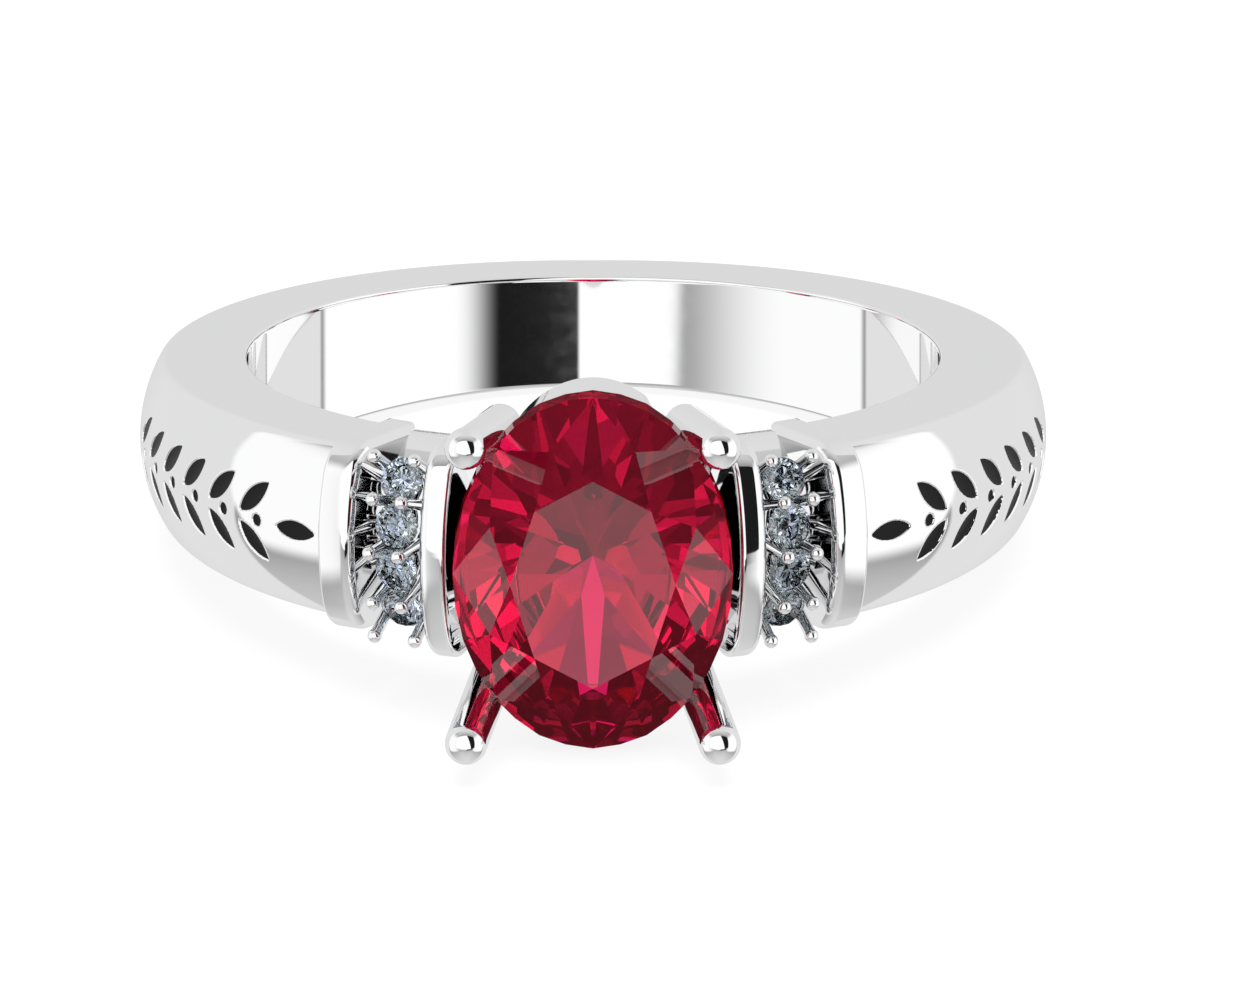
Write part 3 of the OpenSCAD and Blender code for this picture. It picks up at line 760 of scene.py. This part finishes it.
# A straight ramp between two values, level beyond both
def gradient(tree, value, fromMin, fromMax, toMin, toMax):
    node = tree.nodes.new("ShaderNodeMapRange")
    for key, number in zip(("From Min", "From Max", "To Min", "To Max"), (fromMin, fromMax, toMin, toMax)):
        node.inputs[key].default_value = number
    tree.links.new(value, node.inputs["Value"])
    return node.outputs["Result"]


# One value where a mask is 0 and another where it is 1
def mixed(tree, low, high, mask):
    kept = mathNode(tree, "MULTIPLY", low, mathNode(tree, "SUBTRACT", 1.0, mask))
    return mathNode(tree, "ADD", kept, mathNode(tree, "MULTIPLY", high, mask))


# The studio as a map of directions: a grey room with a little more light at the back of its sides, and
# with bright panels and dark gaps
def makeWorld():
    world = bpy.data.worlds.new("studio")
    bpy.context.scene.world = world
    world.use_nodes = True
    world.cycles.sampling_method = "NONE"  # mirrors find the panels by themselves
    tree = world.node_tree
    place = tree.nodes.new("ShaderNodeTexCoord")
    turn = tree.nodes.new("ShaderNodeVectorRotate")
    turn.rotation_type = "X_AXIS"
    turn.inputs["Angle"].default_value = math.atan2(leanSin, leanCos)
    tree.links.new(place.outputs["Generated"], turn.inputs["Vector"])
    split = tree.nodes.new("ShaderNodeSeparateXYZ")
    tree.links.new(turn.outputs["Vector"], split.inputs["Vector"])
    x, y, z = split.outputs
    steep = mathNode(tree, "MAXIMUM", mathNode(tree, "ABSOLUTE", z), room["soft"])
    side = mathNode(tree, "ABSOLUTE", x)
    front = mathNode(tree, "MULTIPLY", y, -1.0)
    below = mathNode(tree, "MULTIPLY", z, -1.0)
    rearward = mathNode(tree, "SUBTRACT", y, mathNode(tree, "MULTIPLY", side, room["sideEnd"]))
    lower = mathNode(tree, "MULTIPLY", mathNode(tree, "MAXIMUM", below, 0.0), room["sideLean"])
    rearward = mathNode(tree, "SUBTRACT", rearward, lower)
    beside = mathNode(tree, "SUBTRACT", 1.0, softEdge(tree, rearward, 0, room["soft"]))
    wide = mathNode(tree, "MULTIPLY", side, beside)
    greys = []
    for part in (room["ceiling"], room["ground"]):
        out = mathNode(tree, "MAXIMUM", front, mathNode(tree, "MULTIPLY", wide, part["side"]))
        out = mathNode(tree, "DIVIDE", out, steep)
        greys.append(gradient(tree, out, part["far"], part["near"], part["middle"], part["wall"]))
    level = mixed(tree, greys[1], greys[0], gradient(tree, z, -room["soft"], room["soft"], 0, 1))
    behind = mathNode(tree, "MULTIPLY", softEdge(tree, rearward, 0, room["soft"]), room["backSide"])
    behind = mathNode(tree, "MULTIPLY", behind, gradient(tree, side, 0.1, 0.5, 0, 1))
    level = mathNode(tree, "ADD", level, behind)
    for panel in panels:
        level = mixed(tree, level, float(panel["value"]), panelMask(tree, x, y, z, panel))
    # Stones are lit apart, as jewellers do: outside they mirror a dark room with a low bright band, and
    # through them the room shows with hard contrasts, in flat patches that make each facet its own tone
    light = tree.nodes.new("ShaderNodeLightPath")
    band = mathNode(tree, "MULTIPLY", softEdge(tree, below, -stoneStudio["bandTop"], stoneStudio["bandSoft"]),
                    softEdge(tree, z, stoneStudio["bandBottom"], stoneStudio["bandSoft"]))
    outside = gradient(tree, band, 0, 1, stoneStudio["dark"], stoneStudio["bright"])
    through = mathNode(tree, "POWER", level, float(stoneStudio["power"]))
    patches = tree.nodes.new("ShaderNodeTexVoronoi")
    patches.inputs["Scale"].default_value = stoneStudio["patches"]
    tree.links.new(turn.outputs["Vector"], patches.inputs["Vector"])
    tones = tree.nodes.new("ShaderNodeSeparateColor")
    tree.links.new(patches.outputs["Color"], tones.inputs["Color"])
    tone = gradient(tree, tones.outputs["Red"], 0, 1, *stoneStudio["patchTone"])
    through = mathNode(tree, "MULTIPLY", mathNode(tree, "MULTIPLY", through, stoneStudio["boost"]), tone)
    # They are lit from the left in front and from the right behind, and from above more than from below
    across, upDown = stoneStudio["across"], stoneStudio["upDown"]
    fromLeft = mathNode(tree, "MULTIPLY", x, front)
    fromLeft = gradient(tree, fromLeft, -across, across, *stoneStudio["leftToRight"])
    through = mathNode(tree, "MULTIPLY", through, fromLeft)
    fromLow = gradient(tree, z, -upDown, upDown, *stoneStudio["lowToHigh"])
    through = mathNode(tree, "MULTIPLY", through, fromLow)
    stones = mixed(tree, outside, through, light.outputs["Is Transmission Ray"])
    level = mixed(tree, level, stones, light.outputs["Is Singular Ray"])
    # Some of the patches are bluish, for the stones' fire, and so is the rear of the room
    fire = mathNode(tree, "POWER", tones.outputs["Blue"], 2.0)
    fire = mathNode(tree, "MULTIPLY", fire, stoneStudio["blue"])
    fire = mathNode(tree, "ADD", fire, gradient(tree, y, 0, stoneStudio["rear"], 0, stoneStudio["rearBlue"]))
    fire = mathNode(tree, "MULTIPLY", fire, light.outputs["Is Transmission Ray"])
    blue = mathNode(tree, "MULTIPLY", level, mathNode(tree, "ADD", fire, 1.0))
    colour = tree.nodes.new("ShaderNodeCombineColor")
    for channel, value in (("Red", level), ("Green", level), ("Blue", blue)):
        tree.links.new(value, colour.inputs[channel])
    shown = tree.nodes["Background"]
    tree.links.new(colour.outputs["Color"], shown.inputs["Color"])
    # The camera itself and dull surfaces see a plain pale backdrop
    plain = tree.nodes.new("ShaderNodeBackground")
    plain.inputs["Color"].default_value = (backdropGrey, backdropGrey, backdropGrey, 1)
    choice = tree.nodes.new("ShaderNodeMixShader")
    dull = mathNode(tree, "MAXIMUM", light.outputs["Is Camera Ray"], light.outputs["Is Diffuse Ray"])
    tree.links.new(dull, choice.inputs["Fac"])
    tree.links.new(shown.outputs["Background"], choice.inputs[1])
    tree.links.new(plain.outputs["Background"], choice.inputs[2])
    tree.links.new(choice.outputs["Shader"], tree.nodes["World Output"].inputs["Surface"])


# Mostly its own light, so that shadows stay faint
floorLook = {"reach": 4, "grey": (0.13, 0.13, 0.13, 1), "glow": 0.86, "roughness": 0.9}


def makeFloor():
    mesh = bpy.data.meshes.new("floor")
    far = floorLook["reach"]
    mesh.from_pydata([(-far, -far, 0), (far, -far, 0), (far, far, 0), (-far, far, 0)], [], [(0, 1, 2, 3)])
    floor = bpy.data.objects.new("floor", mesh)
    bpy.context.collection.objects.link(floor)
    material, nodes, links, shader = newMaterial("paleFloor")
    shader.inputs["Base Color"].default_value = floorLook["grey"]
    shader.inputs["Emission Color"].default_value = (1, 1, 1, 1)
    shader.inputs["Emission Strength"].default_value = floorLook["glow"]
    shader.inputs["Roughness"].default_value = floorLook["roughness"]
    shader.inputs["Specular IOR Level"].default_value = 0
    mesh.materials.append(material)
    floor.visible_glossy = False
    floor.visible_transmission = False


topLamp = {"place": (0, 0, 0.5), "size": 0.5, "watts": 3}


# A soft lamp over the ring that only dull surfaces see
def makeLamp():
    data = bpy.data.lights.new("topLight", "AREA")
    data.shape = "DISK"
    data.size = topLamp["size"]
    data.energy = topLamp["watts"]
    lamp = bpy.data.objects.new("topLight", data)
    lamp.location = topLamp["place"]
    bpy.context.collection.objects.link(lamp)
    lamp.visible_glossy = False
    lamp.visible_transmission = False


# The camera stands far off, so that the view is nearly without perspective, as in the photo
def makeCamera():
    tilt = math.radians(studio["photoTilt"]) + math.atan2(leanSin, leanCos)
    back = np.array([0, -math.cos(tilt), math.sin(tilt)])
    up = np.array([0, math.sin(tilt), math.cos(tilt)])
    right = np.array([1, 0, 0])
    width, height = studio["frame"]
    scale = studio["pixelsPerMm"]
    offX, offY = (width / 2 - studio["holeAt"][0]) / scale, (height / 2 - studio["holeAt"][1]) / scale
    data = bpy.data.cameras.new("camera")
    data.lens, data.sensor_width = studio["lens"], 36
    distance = width / scale / 2 / (data.sensor_width / 2 / data.lens)
    place = (holeCentre + right * offX - up * offY + back * distance) / 1000
    camera = bpy.data.objects.new("camera", data)
    camera.location = place
    camera.rotation_euler = (math.pi / 2 - tilt, 0, 0)
    data.clip_start, data.clip_end = 0.01, 10
    bpy.context.collection.objects.link(camera)
    bpy.context.scene.camera = camera


makeWorld()
makeFloor()
makeLamp()
makeCamera()
bpy.context.scene.view_settings.view_transform = "Standard"
# Light goes back and forth many times between the polished faces and in the stones
bounces = {"all": 14, "glossy": 5, "transmission": 12}
bpy.context.scene.cycles.max_bounces = bounces["all"]
bpy.context.scene.cycles.glossy_bounces = bounces["glossy"]
bpy.context.scene.cycles.transmission_bounces = bounces["transmission"]
print("studio ready")
